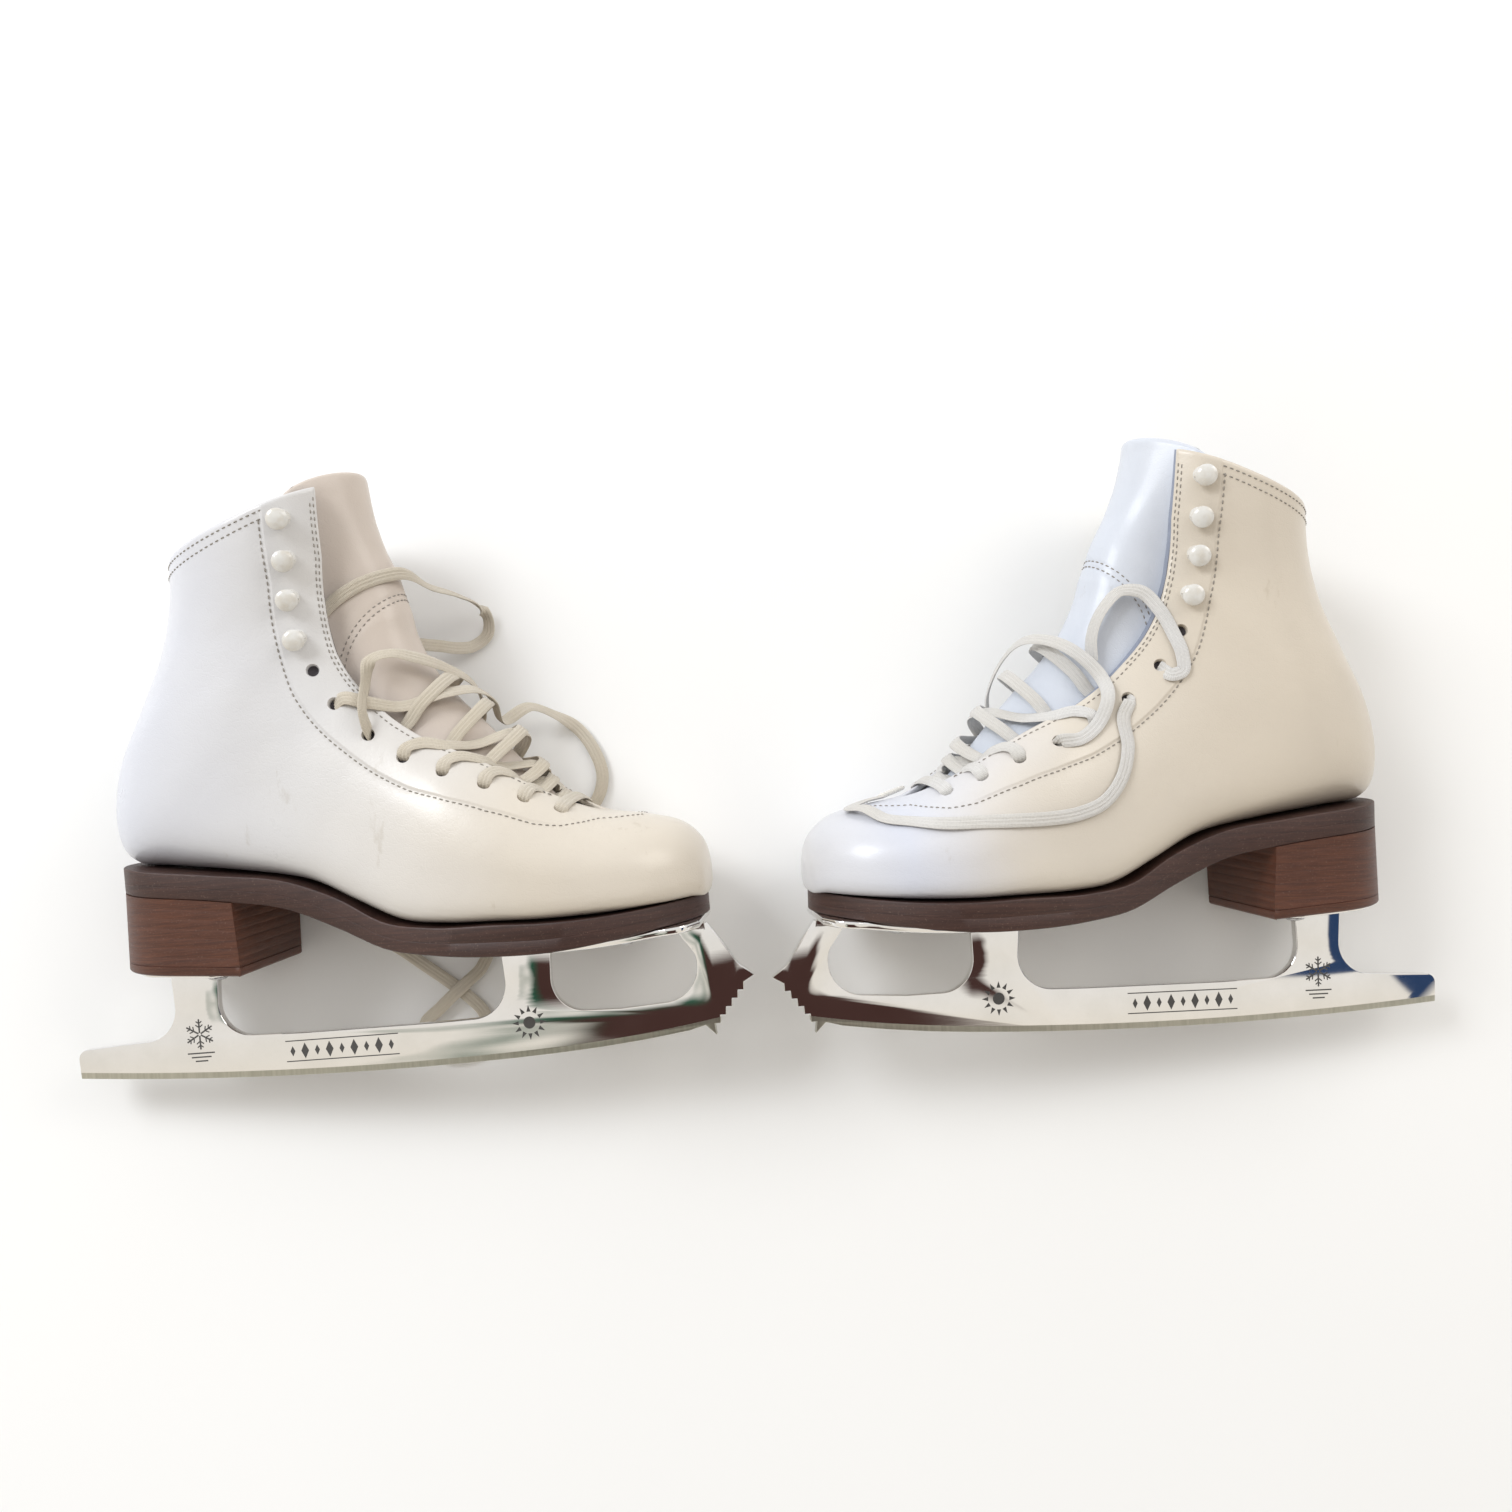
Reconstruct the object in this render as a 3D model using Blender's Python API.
"""A pair of figure skates lying on their inner sides, toe to toe, with loose laces.

Each skate is drawn in its own frame, in millimetres: u runs from heel to toe, v from the
ice up to the cuff, and w from the blade's plane towards the outer side, which lies
uppermost. The left foot's skate is the mirror image of the right foot's, apart from its laces.
"""

import math

import bmesh
import bpy
import numpy as np
from mathutils import Euler, Matrix, Vector

MM = 0.001
GAP = 0.3  # clearance between pieces that touch, in mm

# --- driving dimensions, in mm ---------------------------------------------------------
TOE_END = 258.0  # front of the outsole
HEEL_END = 14.0  # back of the outsole
LEATHER = 2.6  # thickness of the upper
PADDING = 4.2  # thickness of the lining
FACING_WIDTH = 23.0  # from the throat's edge to the facing's inner seam
FACING = 3.0  # thickness of the facing's reinforcement
INSOLE = 3.0
BLADE = 3.8  # thickness of the runner
SOLE_PLATE = 3.0
HEEL_PLATE = 2.6
HEEL_SLANT = -2.5  # how far the heel's back leans in at the bottom; negative is outwards
ROCKER_RADIUS = 1600.0
ROCKER_LOW = 113.0  # u of the runner's lowest point
BALL, BALL_RADIUS = 190.0, 920.0
HEEL_BREAST = 69.5
HEEL_LOW = (53.6, -0.08)  # the heel's bottom face: v at u = 5, and its slope
LACE = 4.0  # diameter of the round stand-in for the flat lace
EYELET_RADIUS = 2.4
EYELET_INSET = 12.5  # from the throat's edge to the lace holes
LACE_LIFT = LACE / 2 + 0.7
CROSS_HUMP = LACE + 1.2
AGLET_LENGTH, AGLET_RADIUS = 22.0, 1.5

# --- where each skate lies -------------------------------------------------------------
TILT = (4.99, -5.48)  # degrees about the skate's own u and v axes, as it rests on its side
TOE_UP = 1.4  # degrees that each skate is turned, toe towards the cuffs
PLACES = {"right": (-0.2764, -0.1278, 0.02158), "left": (0.2764, -0.1296, 0.02158)}
MIRROR = {"right": 1, "left": -1}

# Sections of the boot's outside, from the toe cap round the heel to the cuff. Each lies in
# a plane across the boot, from a bottom (or back) point to a top (or front) point.
#    bottom, back     top, front    half-width    widest  squareness
#    u      v         u      v      outer  inner  share   bottom  top
SECTIONS = (
    (260.6, 75.0, 260.6, 77.0, 2.0, 2.0, 0.50, 2.0, 2.0),
    (259.0, 64.6, 257.8, 87.5, 15.0, 20.0, 0.42, 3.0, 2.0),
    (253.0, 64.3, 248.8, 95.3, 25.0, 32.0, 0.38, 4.0, 2.2),
    (241.5, 63.5, 234.5, 99.5, 34.0, 40.0, 0.35, 5.0, 2.2),
    (223.0, 62.5, 215.0, 103.8, 41.0, 45.0, 0.34, 6.0, 2.2),
    (200.0, 62.4, 196.0, 116.5, 46.0, 46.5, 0.32, 7.0, 2.1),
    (180.0, 62.9, 179.0, 131.0, 47.0, 45.5, 0.31, 7.0, 2.1),
    (160.0, 63.5, 166.0, 142.0, 45.5, 42.0, 0.31, 7.0, 2.1),
    (140.0, 65.4, 154.0, 152.0, 42.0, 38.5, 0.32, 6.0, 2.1),
    (120.0, 73.8, 145.0, 162.0, 38.5, 35.5, 0.34, 5.0, 2.1),
    (98.0, 84.3, 138.5, 172.0, 36.0, 34.5, 0.36, 4.5, 2.1),
    (68.0, 90.2, 134.5, 182.0, 35.0, 34.5, 0.38, 4.0, 2.1),
    (38.0, 94.2, 132.5, 191.0, 35.5, 35.0, 0.42, 3.2, 2.1),
    (17.0, 97.6, 131.0, 199.0, 36.0, 35.5, 0.46, 2.5, 2.1),
    (10.5, 112.0, 130.0, 205.5, 36.0, 35.5, 0.50, 2.3, 2.1),
    (13.5, 134.0, 128.5, 212.0, 35.5, 35.0, 0.52, 2.2, 2.1),
    (24.5, 157.0, 126.8, 218.5, 35.5, 35.0, 0.54, 2.2, 2.1),
    (35.5, 179.0, 125.3, 226.2, 36.5, 36.0, 0.54, 2.2, 2.1),
    (41.5, 200.0, 124.0, 235.0, 38.0, 37.5, 0.54, 2.2, 2.1),
    (43.5, 221.0, 123.0, 247.0, 39.5, 39.0, 0.54, 2.2, 2.1),
)
CUFF = len(SECTIONS) - 1
CUFF_DROP = 10.0  # the cuff's edge dips at the sides by about a quarter of this
CUFF_BEND = 15.0  # sections above this one follow the cuff's dip
# Half of the throat's width, along the surface, at a section
THROAT = (
    (3.8, 0.0), (4.1, 6.5), (4.5, 13.5), (5.0, 19.0), (6.0, 26.0), (7.0, 29.5), (8.0, 31.5),
    (9.0, 32.5), (10.0, 33.0), (11.0, 34.0), (12.0, 35.0),
)  # fmt: skip
# Above that, the two boots differ: half-width of the throat at sections 14, 16.5 and 19, how
# far forward the cuff leans, the hooks' inset and the share the facing narrows by at the cuff.
POSTURE = {
    "right": (34.3, 30.8, 31.0, 5.0, 16.3, 0.0),
    "left": (35.0, 32.0, 31.6, -6.0, 12.8, 0.16),
}
LEAN_FROM, LEAN_TO = 130.0, 245.0  # v at which the lean starts, and where it is whole
ROWS = (
    0.0, 0.5, 1.0, 2.0, 3.0, 3.8, 4.4, 5.0, 6.0, 7.0, 8.0, 9.0, 10.0, 11.0, 12.0, 12.6,
    13.2, 14.0, 15.0, 16.5, 18.0, 19.0,
)  # fmt: skip
SIDE_COLUMNS = 7  # from the facing's seam to the bottom's middle

#    u     sole top  sole bottom
SOLE_LINE = (
    (7, 97.6, 87.0), (31, 94.6, 84.0), (64, 90.3, 79.8), (92, 85.6, 74.2),
    (113, 77.2, 64.8), (133, 66.6, 55.8), (152, 63.6, 52.6), (180, 63.0, 50.6),
    (198, 62.2, 50.4), (220, 62.3, 52.0), (240, 63.3, 54.2), (258, 64.4, 55.6),
)  # fmt: skip
#    u   outer  inner half-width of the sole
SOLE_WIDTH = (
    (7, 34, 33), (35, 34, 33), (64, 33.5, 31), (92, 32, 28), (113, 33, 27.5),
    (133, 37.5, 31), (152, 42, 36.5), (175, 45.5, 42.5), (195, 45.5, 45),
    (215, 44, 45.5), (257, 40, 45),
)  # fmt: skip
HEEL_ROUND = 29.0  # length of the sole's rounded back
TOE_ROUND = 58.0  # length of its rounded front

# How far the tongue's middle stands out of the boot's outside, by section
TONGUE_BULGE = (
    (3.8, -8.0), (4.6, -4.0), (5.5, 0.0), (6.6, 3.6), (8.0, 6.4), (10.0, 8.4), (12.0, 8.4),
    (14.0, 6.5), (16.5, 3.5), (19.0, 0.4),
)  # fmt: skip
TONGUE_THICKNESS = 5.0
TONGUE_UNDER = 13.0  # how far it reaches under each facing
TONGUE_TOP = 6.0  # how far its middle stands above the cuff's line
TONGUE_ROWS = (3.75, 4.2, 4.6, 5.0, 6.0, 7.0, 8.0, 9.0, 10.0, 11.0, 12.0, 13.2, 15.0, 16.5, 18.0, 19.0)

# Sections of the boot where the lace holes and the hooks are, toe to cuff
HOLES = (4.55, 5.25, 6.10, 7.20, 8.35, 9.55, 10.85, 12.15)
HOOKS = (13.75, 15.5, 17.05, 18.4)

SCREWS = {
    "sole": ((163, 0), (226, 19), (226, -19)),
    "heel": ((19.5, 0), (51, 13), (51, -13)),
}  # u, w

LEATHER_WHITE = ("leather_white", (0.86, 0.83, 0.79), 0.32, 0.0)
TONGUE_LEATHER = ("tongue_leather", (0.80, 0.74, 0.67), 0.45, 0.0)
LINING_GREY = ("lining_grey", (0.62, 0.64, 0.68), 0.85, 0.0)
SOLE_BROWN = ("sole_leather", (0.16, 0.07, 0.06), 0.55, 0.0)
HEEL_BROWN = ("heel_leather", (0.25, 0.10, 0.06), 0.45, 0.0)
CHROME = ("blade_chrome", (0.86, 0.86, 0.86), 0.08, 1.0)
SCREW_STEEL = ("screw_steel", (0.70, 0.70, 0.70), 0.25, 1.0)
HOOK_WHITE = ("hook_enamel", (0.88, 0.87, 0.84), 0.25, 0.0)
LACE_WHITE = ("lace_cotton", (0.82, 0.79, 0.72), 0.85, 0.0)
LACE_TIP = ("lace_tip", (0.85, 0.83, 0.78), 0.3, 0.0)


# --- curves ----------------------------------------------------------------------------
def smooth(knots, x):
    """A smooth curve through knots (x, y, ...), read at x; one row of y values for each x."""
    knots = np.array(knots, float)
    xs, ys = knots[:, 0], knots[:, 1:]
    slope = np.gradient(ys, xs, axis=0)
    x = np.clip(np.atleast_1d(np.asarray(x, float)), xs[0], xs[-1])
    i = np.clip(np.searchsorted(xs, x) - 1, 0, len(xs) - 2)
    h = (xs[i + 1] - xs[i])[:, None]
    t = ((x - xs[i]) / (xs[i + 1] - xs[i]))[:, None]
    return (
        (2 * t**3 - 3 * t**2 + 1) * ys[i]
        + (t**3 - 2 * t**2 + t) * h * slope[i]
        + (3 * t**2 - 2 * t**3) * ys[i + 1]
        + (t**3 - t**2) * h * slope[i + 1]
    )


def fillet(corners, steps=5):
    """A closed outline with each corner (x, y, radius) rounded by an arc."""
    points = []
    count = len(corners)
    for i, (x, y, radius) in enumerate(corners):
        here = Vector((x, y))
        back = (Vector(corners[i - 1][:2]) - here).normalized()
        ahead = (Vector(corners[(i + 1) % count][:2]) - here).normalized()
        bend = math.pi - back.angle(ahead)
        if radius <= 0 or bend < 0.01:
            points.append(here)
            continue
        reach = radius * math.tan(bend / 2)
        centre = here + (back + ahead).normalized() * (radius / math.cos(bend / 2))
        start = here + back * reach - centre
        turn = bend if back.cross(ahead) < 0 else -bend
        for j in range(steps + 1):
            spin = Matrix.Rotation(turn * j / steps, 2)
            points.append(centre + spin @ start)
    return [(p.x, p.y) for p in points]


# --- the boot's surface ----------------------------------------------------------------
posture = list(POSTURE["right"])  # of the boot being made


def section(k, side):
    """The boot's outside at section k, from its front middle to its back middle."""
    row = smooth([(i, *s) for i, s in enumerate(SECTIONS)], k)[0]
    bottom, top = row[0:2], row[2:4]
    half = row[4] if side > 0 else row[5]
    widest, square_low, square_high = row[6:9]
    angle = np.linspace(0, math.pi, 161)
    power = np.where(angle < math.pi / 2, 2 / square_high, 2 / square_low)
    across = np.abs(np.sin(angle)) ** power
    lift = np.abs(np.cos(angle)) ** power
    share = np.where(
        angle < math.pi / 2, widest + (1 - widest) * lift, widest * (1 - lift)
    )
    points = np.empty((len(angle), 3))
    points[:, :2] = bottom + share[:, None] * (top - bottom)
    points[:, 2] = side * half * across
    bend = max(0.0, (k - CUFF_BEND) / (CUFF - CUFF_BEND))
    points[:, 1] -= CUFF_DROP * bend**1.5 * share**0.8 * (1 - share) ** 1.5
    rise = np.clip((points[:, 1] - LEAN_FROM) / (LEAN_TO - LEAN_FROM), 0, 1.2)
    points[:, 0] += posture[3] * rise**1.3 * (0.35 + 0.65 * share)
    return points


def at(k, side, arc):
    """Points on the boot's outside at section k, at distances arc from its front middle."""
    line = section(k, side)
    along = np.concatenate([[0], np.cumsum(np.linalg.norm(np.diff(line, axis=0), axis=1))])
    return np.stack([np.interp(arc, along, line[:, i]) for i in range(3)], axis=-1)


def girth(k, side):
    """Distance along section k from its front middle to its back middle."""
    return np.linalg.norm(np.diff(section(k, side), axis=0), axis=1).sum()


def normal(k, side, arc):
    """Outward unit normals of the boot at section k."""
    step, reach = 0.04, 0.6
    low, high = max(0.0, k - step), min(CUFF, k + step)
    share = np.asarray(arc, float) / girth(k, side)
    forward = at(high, side, share * girth(high, side)) - at(low, side, share * girth(low, side))
    arc = np.clip(arc, reach, girth(k, side) - reach)
    round_it = at(k, side, arc + reach) - at(k, side, arc - reach)
    out = np.cross(round_it, forward) * -side
    return out / np.linalg.norm(out, axis=-1, keepdims=True)


def on_boot(k, side, arc, lift=0.0):
    """A point that far off the boot's outside."""
    return at(k, side, arc) + lift * normal(k, side, arc)


def throat(k):
    """Distance along the surface from the boot's front middle to the throat's edge."""
    knots = (*THROAT, (14.0, posture[0]), (16.5, posture[1]), (19.0, posture[2]))
    return max(0.0, float(np.interp(k, *zip(*knots))))


def facing_width(k, side):
    narrow = 1 - posture[5] * np.clip((k - 10.0) / 4.0, 0, 1)
    return min(FACING_WIDTH * narrow, 0.22 * girth(k, side))


def columns(k, side):
    """Arc positions of the mesh's columns: the throat's edge, the facing, then the side."""
    edge, wide, whole = throat(k), facing_width(k, side), girth(k, side)
    rest = np.linspace(0, 1, SIDE_COLUMNS + 1)[1:]
    seam = edge + wide
    return np.concatenate([[edge, edge + wide / 2, seam], seam + rest * (whole - seam)])


def tongue_point(k, across, lift=0.0, rise=0.0):
    """A point on the tongue at section k, across -1 to 1 from its inner to its outer edge."""
    side = 1 if across >= 0 else -1
    edge, reach = throat(k), throat(k) + TONGUE_UNDER
    arc = min(abs(across) * reach, 0.7 * girth(k, side))
    under = LEATHER + FACING + 3 * GAP + 1.0 + 3.0 * np.clip(5.2 - k, 0, 1)
    middle = -float(np.interp(k, *zip(*TONGUE_BULGE)))
    share = np.clip(arc / max(edge + 1.0, 1.0), 0, 1)
    share = share * share * (3 - 2 * share)
    depth = middle + (under - middle) * share
    point = on_boot(k, side, arc, lift - depth)
    if arc < 0.1:
        point[2] = 0.0
    return point + rise * np.array([-0.1, 1.0, 0.0]) * math.cos(abs(across) * 1.3)


# --- making objects --------------------------------------------------------------------
def clear_scene():
    for obj in list(bpy.data.objects):
        bpy.data.objects.remove(obj, do_unlink=True)


def material(name, colour, roughness, metallic):
    found = bpy.data.materials.get(name)
    if found:
        return found
    made = bpy.data.materials.new(name)
    made.use_nodes = True
    shader = made.node_tree.nodes["Principled BSDF"]
    shader.inputs["Base Color"].default_value = (*colour, 1.0)
    shader.inputs["Roughness"].default_value = roughness
    shader.inputs["Metallic"].default_value = metallic
    return made


class Skate:
    """One skate: its name, the way u points in the world, and the empty that places it."""

    def __init__(self, foot):
        self.foot = foot
        self.mirror = MIRROR[foot]
        self.empty = bpy.data.objects.new(f"{foot}_place", None)
        bpy.context.scene.collection.objects.link(self.empty)
        lean, roll, toe = TILT[0], TILT[1] * self.mirror, TOE_UP * self.mirror
        turn = Euler([math.radians(lean), math.radians(roll), math.radians(toe)])
        self.empty.rotation_euler = turn
        self.empty.location = PLACES[foot]
        self.matrix = Matrix.Translation(PLACES[foot]) @ turn.to_matrix().to_4x4()

    def local(self, point):
        """A point (u, v, w) in mm as the empty's children see it, in metres."""
        return Vector((point[0] * self.mirror, point[1], point[2])) * MM

    def on_floor(self, u, v, height=LACE / 2 + 0.8):
        """The point (u, v, w) at that height in mm above the floor."""
        start, rise = self.matrix @ self.local((u, v, 0)), self.matrix.to_3x3()[2][2]
        return np.array([u, v, (height - start.z / MM) / rise])

    def add(self, name, points, faces, look, origin=(0.0, 0.0, 0.0), sharp=40):
        """One closed mesh, with its origin at a point of the skate's frame."""
        centre = self.local(origin)
        mesh = bpy.data.meshes.new(name)
        mesh.from_pydata([self.local(p) - centre for p in points], [], faces)
        bm = bmesh.new()
        bm.from_mesh(mesh)
        bmesh.ops.remove_doubles(bm, verts=bm.verts, dist=0.00001)
        bmesh.ops.dissolve_degenerate(bm, edges=bm.edges, dist=0.00001)
        bmesh.ops.recalc_face_normals(bm, faces=bm.faces)
        bm.to_mesh(mesh)
        bm.free()
        mesh.materials.append(material(*look))
        mesh.shade_smooth()
        mesh.set_sharp_from_angle(angle=math.radians(sharp))
        obj = bpy.data.objects.new(f"{self.foot}_{name}", mesh)
        bpy.context.scene.collection.objects.link(obj)
        obj.parent = self.empty
        obj.location = centre
        return obj

    def cut(self, obj, cutter):
        """Takes cutter, which isn't a part, out of obj."""
        cutter.hide_render = True
        cutter.display_type = "WIRE"
        modifier = obj.modifiers.new("cut", "BOOLEAN")
        modifier.operation = "DIFFERENCE"
        modifier.object = cutter


def grid_faces(rows, cols, start=0, flip=False):
    faces = []
    for i in range(rows - 1):
        for j in range(cols - 1):
            a = start + i * cols + j
            b = a + cols
            faces += [(a, b + 1, a + 1), (a, b, b + 1)] if flip else [(a, a + 1, b + 1), (a, b + 1, b)]
    return faces


def slab(outside, inside, closed_rows=0, toe_cap=False):
    """A closed sheet between two grids of points. Its two long edges meet in the first closed_rows."""
    rows, cols = outside.shape[:2]
    size = rows * cols
    points = np.concatenate([outside.reshape(-1, 3), inside.reshape(-1, 3)])
    faces = grid_faces(rows, cols) + grid_faces(rows, cols, size, flip=True)
    for j in (0, cols - 1):
        for i in range(max(0, closed_rows - 1), rows - 1):
            a, b = i * cols + j, (i + 1) * cols + j
            faces.append((a, b, b + size, a + size))
    last = (rows - 1) * cols
    for j in range(cols - 1):
        if not toe_cap:
            faces.append((j, j + 1, j + 1 + size, j + size))
        faces.append((last + j, last + j + 1, last + j + 1 + size, last + j + size))
    if toe_cap:
        faces.append(tuple(range(cols - 1)))
        faces.append(tuple(size + j for j in range(cols - 1)))
    return points, faces


def prism(outline, low, high):
    """An outline (u, v) as a flat plate from w = low to w = high."""
    n = len(outline)
    points = [(u, v, low) for u, v in outline] + [(u, v, high) for u, v in outline]
    faces = [tuple(range(n))[::-1], tuple(range(n, 2 * n))]
    faces += [(i, (i + 1) % n, n + (i + 1) % n, n + i) for i in range(n)]
    return points, faces


def strip(stations):
    """A solid along u from stations (u, outer w, inner w, bottom v, top v)."""
    points, faces = [], []
    for u, outer, inner, bottom, top in stations:
        points += [(u, bottom, inner), (u, bottom, outer), (u, top, outer), (u, top, inner)]
    for i in range(len(stations) - 1):
        for j in range(4):
            a, b = 4 * i + j, 4 * i + (j + 1) % 4
            faces.append((a, b, b + 4, a + 4))
    end = 4 * (len(stations) - 1)
    faces += [(3, 2, 1, 0), (end, end + 1, end + 2, end + 3)]
    return points, faces


def turned(profile, sides, place):
    """A turned solid; place maps (distance along the axis, x, y) to the skate's frame."""
    points, faces, rings = [], [], []
    for along, radius in profile:
        if radius == 0:
            rings.append([len(points)])
            points.append(place(along, 0.0, 0.0))
            continue
        rings.append(list(range(len(points), len(points) + sides)))
        for i in range(sides):
            a = 2 * math.pi * i / sides
            points.append(place(along, radius * math.cos(a), radius * math.sin(a)))
    for low, high in zip(rings, rings[1:]):
        for i in range(sides):
            j = (i + 1) % sides
            ring = [low[i % len(low)], low[j % len(low)], high[j % len(high)], high[i % len(high)]]
            faces.append(tuple(dict.fromkeys(ring)))
    return points, faces


def axis_place(base, axis):
    """A place function for turned(): base in the skate's frame, axis a unit direction."""
    axis = np.array(axis, float) / np.linalg.norm(axis)
    first = np.cross(axis, (1.0, 0.0, 0.0) if abs(axis[0]) < 0.8 else (0.0, 1.0, 0.0))
    first = first / np.linalg.norm(first)
    second = np.cross(axis, first)
    return lambda along, x, y: np.array(base) + along * axis + x * first + y * second


# --- the boot --------------------------------------------------------------------------
def shell_grid(depth, first_column=0):
    """The boot's surface at a depth, its first columns drawn together behind the throat."""
    rows = []
    for k in ROWS:
        row = []
        for side in (1, -1):
            arcs = columns(k, side)
            if first_column and throat(k) > 0:
                arcs[:first_column] = arcs[first_column]
            points = on_boot(k, side, arcs, -depth)
            if throat(k) == 0:
                points[0, 2] = 0.0
            points[-1, 2] = 0.0
            row.append(points if side > 0 else points[::-1][1:])
        rows.append(np.concatenate(row))
    return np.array(rows)


def closed_rows():
    return sum(throat(k) == 0 for k in ROWS)


def eyelet_cutter(skate, side, name):
    """The lace holes of one side, joined as one cutter."""
    points, faces = [], []
    for k in HOLES:
        arc = throat(k) + EYELET_INSET
        place = axis_place(on_boot(k, side, arc), normal(k, side, arc))
        ends = [(-9.0, 0.0), (-9.0, EYELET_RADIUS), (4.0, EYELET_RADIUS), (4.0, 0.0)]
        more, sides = turned(ends, 6, place)
        faces += [tuple(i + len(points) for i in f) for f in sides]
        points += more
    return skate.add(f"{name}_cutter", points, faces, LEATHER_WHITE)


def make_boot(skate):
    cutters = {s: eyelet_cutter(skate, s, n) for s, n in ((1, "outer"), (-1, "inner"))}
    points, faces = slab(shell_grid(0.0), shell_grid(LEATHER), closed_rows(), toe_cap=True)
    upper = skate.add("upper", points, faces, LEATHER_WHITE)
    for cutter in cutters.values():
        skate.cut(upper, cutter)
    depth = LEATHER + GAP
    points, faces = slab(
        shell_grid(depth, 2), shell_grid(depth + PADDING, 2), closed_rows(), toe_cap=True
    )
    skate.add("lining", points, faces, LINING_GREY)
    for side, name in ((1, "outer"), (-1, "inner")):
        sheets = []
        for level in (depth + GAP, depth + GAP + FACING):
            rows = []
            for k in [r for r in ROWS if r >= 4.4]:
                arcs = columns(k, side)[:3] - (0.0, 0.0, 0.6)
                rows.append(on_boot(k, side, arcs, -level))
            sheets.append(np.array(rows))
        points, faces = slab(*sheets)
        skate.cut(skate.add(f"facing_{name}", points, faces, LEATHER_WHITE), cutters[side])


def make_insole(skate):
    """A flat piece under the foot, following the lining's floor."""
    depth = LEATHER + PADDING + 2 * GAP + 0.7
    sheets = []
    for level in (depth, depth + INSOLE):
        rows = []
        for k in [r for r in ROWS if 4.4 <= r <= 10.0]:
            outer, inner = (on_boot(k, s, columns(k, s)[-4:], -level) for s in (1, -1))
            outer[-1, 2] = 0.0
            rows.append(np.concatenate([outer, inner[::-1][1:]]))
        sheets.append(np.array(rows))
    skate.add("insole", *slab(*sheets), LINING_GREY)


def make_tongue(skate):
    sheets = []
    for level in (0.0, -TONGUE_THICKNESS):
        rows = [[tongue_point(k, a, level) for a in np.linspace(-1, 1, 11)] for k in TONGUE_ROWS]
        top = [tongue_point(CUFF, a, level, TONGUE_TOP) for a in np.linspace(-1, 1, 11)]
        sheets.append(np.array([*rows, top]))
    skate.add("tongue", *slab(*sheets), TONGUE_LEATHER)


def make_hooks(skate):
    profile = ((0.3, 0.0), (0.3, 3.6), (1.1, 3.6), (1.4, 1.7), (4.2, 1.7), (4.4, 4.4), (5.2, 4.4), (5.8, 0))
    for side, name in ((1, "outer"), (-1, "inner")):
        for i, k in enumerate(HOOKS):
            arc = throat(k) + posture[4]
            base = on_boot(k, side, arc)
            points, faces = turned(profile, 8, axis_place(base, normal(k, side, arc)))
            skate.add(f"hook_{name}_{i + 1}", points, faces, HOOK_WHITE, origin=base)


# --- the sole and the heel -------------------------------------------------------------
def sole_width(u):
    """(outer, inner) w of the sole's edge at u."""
    outer, inner = smooth(SOLE_WIDTH, u)[0]
    back = np.clip((HEEL_END + HEEL_ROUND - u) / HEEL_ROUND, 0, 1)
    front = np.clip((u - TOE_END + TOE_ROUND) / TOE_ROUND, 0, 1)
    narrow = (1 - back**2.4) ** (1 / 2.2) * (1 - front**2.3) ** (1 / 2.0)
    shift = -5.0 * front**2
    return outer * narrow + shift, -inner * narrow + shift


def sole_stations():
    return np.concatenate(
        [
            HEEL_END + HEEL_ROUND * (1 - np.cos(np.linspace(0.12, math.pi / 2, 7))),
            (50.0, 64.0, 78.0, 92.0, 103.0, 113.0, 123.0, 133.0, 142.0, 152.0, 166.0, 182.0, 199.0),
            TOE_END - TOE_ROUND * (1 - np.sin(np.linspace(0.12, math.pi / 2 - 0.1, 9))),
        ]
    )


def make_sole(skate):
    stations = []
    for u in sorted(set(np.round(sole_stations(), 3))):
        top, bottom = smooth(SOLE_LINE, u)[0]
        stations.append((u, *sole_width(u), bottom, top - GAP))
    skate.add("outsole", *strip(stations), SOLE_BROWN)


def heel_low(u):
    return HEEL_LOW[0] + HEEL_LOW[1] * (u - 5)


def make_heel(skate):
    """A stacked block: D-shaped, narrower at the bottom, its back and breast slanting."""
    us = HEEL_END + HEEL_ROUND * (1 - np.cos(np.linspace(0.25, math.pi / 2, 6)))
    us = [*us, 55.0, HEEL_BREAST]
    top, low = [], []
    for u in us:
        outer, inner = sole_width(u)
        top.append((u, smooth(SOLE_LINE, u)[0][1] - GAP, outer, inner))
        foot = u + HEEL_SLANT * (HEEL_BREAST - u) / (HEEL_BREAST - HEEL_END)
        low.append((foot, heel_low(foot), outer * 0.91, inner * 0.91))
    points, faces = [], []
    for (u1, v1, o1, i1), (u0, v0, o0, i0) in zip(top, low):
        points += [(u0, v0, i0), (u0, v0, o0), (u1, v1, o1), (u1, v1, i1)]
    for i in range(len(us) - 1):
        faces += [
            (4 * i + j, 4 * i + (j + 1) % 4, 4 * i + 4 + (j + 1) % 4, 4 * i + 4 + j)
            for j in range(4)
        ]
    end = 4 * (len(us) - 1)
    faces += [(3, 2, 1, 0), (end, end + 1, end + 2, end + 3)]
    heel = skate.add("heel_block", points, faces, HEEL_BROWN)
    return heel


# --- the blade -------------------------------------------------------------------------
def plate_top(kind, u):
    """v of the face that a plate is screwed to, less the gap."""
    return (heel_low(u) if kind == "heel" else smooth(SOLE_LINE, u)[0][1]) - GAP


def plate_low(kind, u):
    return plate_top(kind, u) - (HEEL_PLATE if kind == "heel" else SOLE_PLATE)


def rocker(u):
    """v of the runner's bottom: one long arc, tighter ahead of the foot's ball."""
    return (u - ROCKER_LOW) ** 2 / (2 * ROCKER_RADIUS) + max(0.0, u - BALL) ** 2 / (2 * BALL_RADIUS)


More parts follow.
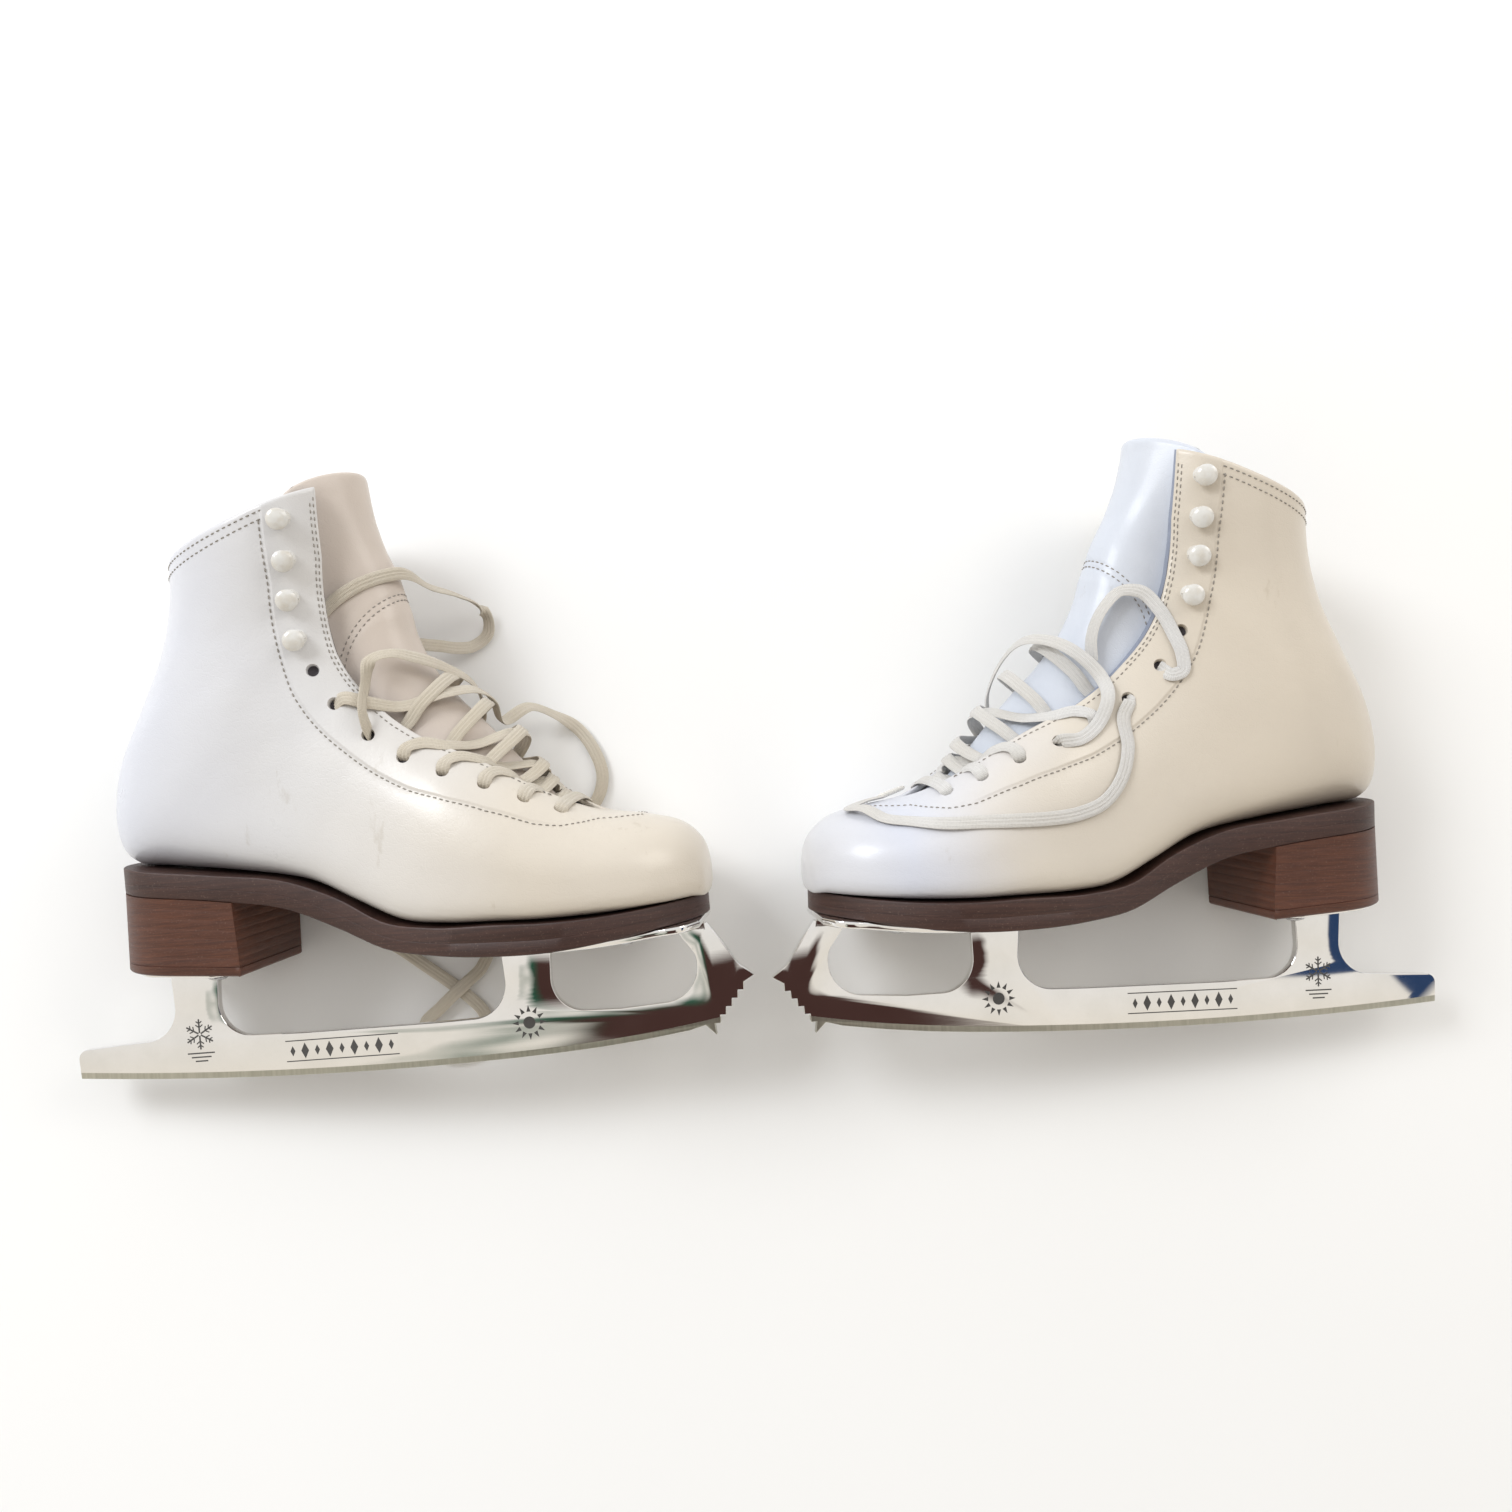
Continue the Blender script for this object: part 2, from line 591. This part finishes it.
def runner_outline():
    """The runner, its two stanchions and the toe rake, cut from one sheet."""
    heel = [plate_low("heel", u) - GAP for u in (44.8, 23.8)]
    sole = min(plate_low("sole", u) for u in np.linspace(164, 192, 15)) - GAP
    toe = [plate_low("sole", u) - GAP for u in (241.5, 257)]
    bottom = [(u, rocker(u), 0) for u in np.linspace(-20, 246, 15)]
    drag = [(250.0, rocker(250) + 0.5, 0), (253.0, 9.0, 0), (257.3, 4.6, 0)]
    teeth = []
    low, high, count = Vector((256.8, 9.5)), Vector((270.5, 26.0)), 5
    step = (high - low) / count
    out = Vector((step.y, -step.x)).normalized()
    for i in range(count):
        notch = low + step * i
        teeth += [(*notch, 0), (*(notch + step * 0.35 + out * 1.9), 0)]
    tip = [(*high, 0), (275.2, 28.6, 0)]
    front = [(268.5, 34.0, 12), (262.5, 44.0, 0), (257.0, toe[1], 0)]
    window = [
        (243.0, toe[0], 0), (251.5, 38.5, 9), (251.5, 20.5, 15), (218.0, 18.6, 0),
        (188.5, 19.3, 14), (190.0, sole, 0),
    ]  # fmt: skip
    middle = [
        (168.8, sole, 0), (170.6, 19.0, 15), (140.0, 18.4, 0), (80.0, 18.4, 0),
        (43.2, 19.4, 14), (44.8, heel[0], 0), (23.8, heel[1], 0), (25.2, 19.8, 14),
        (0.0, 18.8, 0), (-20.6, 17.6, 4),
    ]  # fmt: skip
    return fillet(bottom + drag + teeth + tip + front + window + middle)


def screw_place(kind, u, w):
    """Down from the plate's top face, square to it."""
    slope = (plate_low(kind, u + 3) - plate_low(kind, u - 3)) / 6
    return axis_place((u, plate_top(kind, u), w), (slope, -1, 0))


def screw_cutter(skate, kind):
    points, faces = [], []
    for u, w in SCREWS[kind]:
        place = screw_place(kind, u, w)
        more, sides = turned([(-14, 0), (-14, 2.0), (6, 2.0), (6, 0)], 6, place)
        faces += [tuple(i + len(points) for i in f) for f in sides]
        points += more
    return skate.add(f"{kind}_screw_cutter", points, faces, SCREW_STEEL)


def make_plate(skate, kind, widths):
    """A bent plate under the sole or the heel; widths are (u, half-width)."""
    stations = []
    for u, half in widths:
        stations.append((u, half, -half, plate_low(kind, u), plate_top(kind, u)))
    cutter = screw_cutter(skate, kind)
    skate.cut(skate.add(f"{kind}_plate", *strip(stations), CHROME), cutter)
    skate.cut(bpy.data.objects[f"{skate.foot}_{'heel_block' if kind == 'heel' else 'outsole'}"], cutter)
    low, deep = (HEEL_PLATE + GAP, 12.5) if kind == "heel" else (SOLE_PLATE + GAP, 8.5)
    profile = (
        (-deep, 0.0), (1.5 - deep, 1.6), (low, 1.6), (low, 3.9), (low + 1.2, 3.2), (low + 1.3, 0.0),
    )  # fmt: skip
    for i, (u, w) in enumerate(SCREWS[kind]):
        base = (u, plate_top(kind, u), w)
        points, faces = turned(profile, 6, screw_place(kind, u, w))
        skate.add(f"{kind}_screw_{i + 1}", points, faces, SCREW_STEEL, origin=base)


def make_blade(skate):
    points, faces = prism(runner_outline(), -BLADE / 2, BLADE / 2)
    skate.add("runner", points, faces, CHROME, sharp=25)
    make_plate(
        skate, "sole",
        ((149.5, 5), (151, 12), (156, 18), (166, 20), (190, 22), (203, 24), (215, 27), (240, 29), (252, 26), (256.5, 17)),
    )  # fmt: skip
    make_plate(
        skate, "heel",
        ((15.0, 8), (16.5, 13), (21, 17), (29, 18.5), (44, 18.5), (53, 17.5), (57.5, 13), (59, 8)),
    )  # fmt: skip


# --- the laces -------------------------------------------------------------------------
def tube(skate, name, points):
    """A round cord through points of the skate's frame."""
    curve = bpy.data.curves.new(name, "CURVE")
    curve.dimensions = "3D"
    curve.bevel_depth = LACE / 2 * MM
    curve.bevel_resolution = 2
    curve.use_fill_caps = True
    spline = curve.splines.new("POLY")
    spline.points.add(len(points) - 1)
    for place, point in zip(spline.points, points):
        place.co = (*skate.local(point), 1.0)
    curve.materials.append(material(*LACE_WHITE))
    obj = bpy.data.objects.new(f"{skate.foot}_{name}", curve)
    bpy.context.scene.collection.objects.link(obj)
    obj.parent = skate.empty
    return obj


def lay(points, step):
    """Points a step or less apart on a smooth curve through a route's points."""
    points = np.array(points, float)
    gaps = np.linalg.norm(np.diff(points, axis=0), axis=1)
    along = np.concatenate([[0], np.cumsum(gaps)])
    reads = [0.0]
    for start, gap in zip(along, gaps):
        count = max(1, math.ceil(gap / step))
        reads += [start + gap * (i + 1) / count for i in range(count)]
    return smooth(np.column_stack([along, points]), reads)


def hole_turn(hole, side, towards):
    """Three points round a lace hole, from its cuff side to its toe side, or the other way."""
    k = HOLES[hole]
    pitch = towards * (0.24 if hole < 5 else 0.3 if hole < 7 else 0.42)
    arc = throat(k) + EYELET_INSET
    return [
        on_boot(k - pitch, side, arc - 2.0, LACE_LIFT),
        on_boot(k, side, arc + 3.0, LACE_LIFT),
        on_boot(k + pitch, side, arc - 2.0, LACE_LIFT),
    ]


def over_tongue(k_start, k_end, side, hump):
    """Points across the throat from one side to the other; hump lifts the middle."""
    points = []
    for share in (1.0, 0.45, 0.0, -0.45, -1.0):
        k = k_start + (k_end - k_start) * (1 - share) / 2
        bulge = max(0.0, float(np.interp(k, *zip(*TONGUE_BULGE))))
        lift = LACE_LIFT + (bulge + hump) * (1 - abs(share) ** 1.5)
        here = side if share >= 0 else -side
        points.append(on_boot(k, here, abs(share) * (throat(k) + 1.0), lift))
    return points


def throat_route(first, last):
    """The lacing: from hole first on the outer side down to the toe, and up to hole last."""
    points = []
    side = 1
    for hole in range(first, 0, -1):
        points += hole_turn(hole, side, -1)[1 if hole == first else 0 :]
        start, end = HOLES[hole] - 0.3, HOLES[hole - 1] + 0.3
        points += over_tongue(start, end, side, CROSS_HUMP)
        side = -side
    points += hole_turn(0, side, -1)[:2]
    k = HOLES[0] - 0.22
    points += [on_boot(k, s, throat(k) * 0.9, LACE_LIFT) for s in (side, -side)]
    side = -side
    points += hole_turn(0, side, 1)[1:]
    for hole in range(0, last):
        start, end = HOLES[hole] + 0.3, HOLES[hole + 1] - 0.3
        points += over_tongue(start, end, side, 0.0)
        side = -side
        points += hole_turn(hole + 1, side, 1)[: 2 if hole + 1 == last else 3]
    return points


def over_side(u, v, lift):
    """The point over the boot's outer side at u, v."""
    best = None
    for k in np.arange(3.0, CUFF, 0.25):
        line = section(k, 1)
        i = np.argmin((line[:, 0] - u) ** 2 + (line[:, 1] - v) ** 2)
        off = math.hypot(line[i, 0] - u, line[i, 1] - v)
        if best is None or off < best[0]:
            best = (off, k, i / 160, line[i, 2])
    _, k, share, w = best
    return np.array([u, v, w]) + lift * normal(k, 1, at_share(k, share))


def at_share(k, share):
    """Distance from the front middle to that share of section k's half turn."""
    line = section(k, 1)
    steps = np.linalg.norm(np.diff(line, axis=0), axis=1)
    return steps[: int(share * 160)].sum()


def past_hole(hole, side, reach):
    """A point over the boot beside a lace hole, on the side away from the throat."""
    arc = throat(HOLES[hole]) + EYELET_INSET + 3.0 + reach
    return on_boot(HOLES[hole], side, arc, LACE_LIFT)


def aglet(skate, name, points):
    """The stiff tip at a lace's end, from the first point towards the second."""
    start, ahead = np.array(points[0]), np.array(points[1])
    axis = (ahead - start) / np.linalg.norm(ahead - start)
    profile = ((0.0, 0.0), (0.0, AGLET_RADIUS), (AGLET_LENGTH, AGLET_RADIUS), (AGLET_LENGTH, 0.0))
    points, faces = turned(profile, 6, axis_place(start, axis))
    skate.add(name, points, faces, LACE_TIP, origin=start)


def over_throat(k, share, lift):
    """A point over the throat: share runs from 1 at the outer edge to -1 at the inner."""
    return on_boot(k, 1 if share >= 0 else -1, abs(share) * throat(k), lift)


def make_right_laces(skate):
    tube(skate, "lacing", lay(throat_route(6, 6), 14.0))
    floor = skate.on_floor
    behind = [
        past_hole(6, -1, 5.0), past_hole(6, -1, 12.0), floor(108, 134), floor(104, 118),
        floor(98, 101), floor(89, 84), floor(85, 70), floor(92, 60), floor(101, 54),
        floor(113, 46), floor(123, 38), floor(133, 30), floor(142, 22), floor(148, 15),
        floor(150, 7), floor(146, -1), floor(137, -4), floor(127, -2), floor(121, 5),
        floor(122, 12), floor(129, 18, 5.0), floor(135, 23, 7.4), floor(141, 28, 5.4),
        floor(149, 35, 3.2), floor(152, 43), floor(146, 52), floor(136, 60), floor(127, 68),
    ]  # fmt: skip
    tube(skate, "lace_inner_end", lay(behind, 11.0))
    aglet(skate, "aglet_inner", (floor(126, 69), floor(110, 82)))
    k = HOLES[6]
    across = [
        on_boot(k + 0.45, 1, throat(k) + 12.0, LACE_LIFT), over_throat(k + 0.35, 1.0, 7.0),
        over_throat(10.5, 0.7, 14.0), over_throat(9.4, 0.3, 19.5), over_throat(8.4, 0.0, 20.5),
        over_throat(7.7, -0.35, 20.0), over_throat(7.0, -0.8, 17.0), floor(183, 146, 14.0),
        floor(190, 142, 5.0), floor(198, 136), floor(205, 127), floor(208, 116),
        floor(206, 106), floor(198, 99), floor(185, 100), floor(171, 107), floor(158, 113),
        floor(149, 117.5),
    ]  # fmt: skip
    tube(skate, "lace_outer_end", lay(across, 12.0))
    aglet(skate, "aglet_outer", (floor(147.6, 118.2), floor(130, 127)))
    slack = [
        on_boot(14.2, 1, throat(14.2) - 3.4, -0.6), over_throat(14.1, 0.6, 8.5),
        over_throat(13.9, 0.0, 11.5), floor(144, 203, 30.0), floor(150, 202, 13.0),
        floor(156, 200, 3.2), floor(161, 194), floor(161, 186), floor(155, 181, 4.0),
        floor(149, 180, 10.0), floor(144, 181, 17.0),
    ]  # fmt: skip
    tube(skate, "lace_loop", lay(slack, 11.0))


def make_left_laces(skate):
    tube(skate, "lacing", lay(throat_route(5, 6), 14.0))
    ring = [
        past_hole(6, 1, 4.5), over_side(110, 154, LACE_LIFT), over_side(110, 165, LACE_LIFT),
        over_side(114, 177, LACE_LIFT), over_side(120, 185, LACE_LIFT + 0.8),
        over_throat(12.3, 0.7, 6.5), over_throat(11.8, 0.4, 11.0), over_throat(11.3, 0.1, 13.5),
    ]  # fmt: skip
    tube(skate, "lace_ring", lay(ring, 11.0))
    side = [
        past_hole(5, 1, 4.4), *(over_side(u, v, LACE_LIFT) for u, v in ((132, 132), (134, 121),
        (138, 109), (146, 100), (158, 95.5), (170, 94), (182, 93.5), (196, 93), (209, 92.5), (221, 93))),
        over_side(231, 94, LACE_LIFT + 0.4), over_side(237, 97, LACE_LIFT + 0.6),
    ]  # fmt: skip
    side += [
        on_boot(2.55, 1, 8.0, LACE_LIFT), on_boot(3.0, 1, 1.0, LACE_LIFT),
        on_boot(3.45, -1, 5.0, LACE_LIFT),
    ]
    tube(skate, "lace_side_end", lay(side, 11.0))
    aglet(skate, "aglet_side", (on_boot(3.5, -1, 6.2, LACE_LIFT), on_boot(4.2, -1, 22.0, LACE_LIFT + 1)))


def make_skate(foot):
    posture[:] = POSTURE[foot]
    skate = Skate(foot)
    make_boot(skate)
    make_insole(skate)
    make_tongue(skate)
    make_hooks(skate)
    make_sole(skate)
    make_heel(skate)
    make_blade(skate)
    return skate


def main():
    clear_scene()
    make_right_laces(make_skate("right"))
    make_left_laces(make_skate("left"))


main()
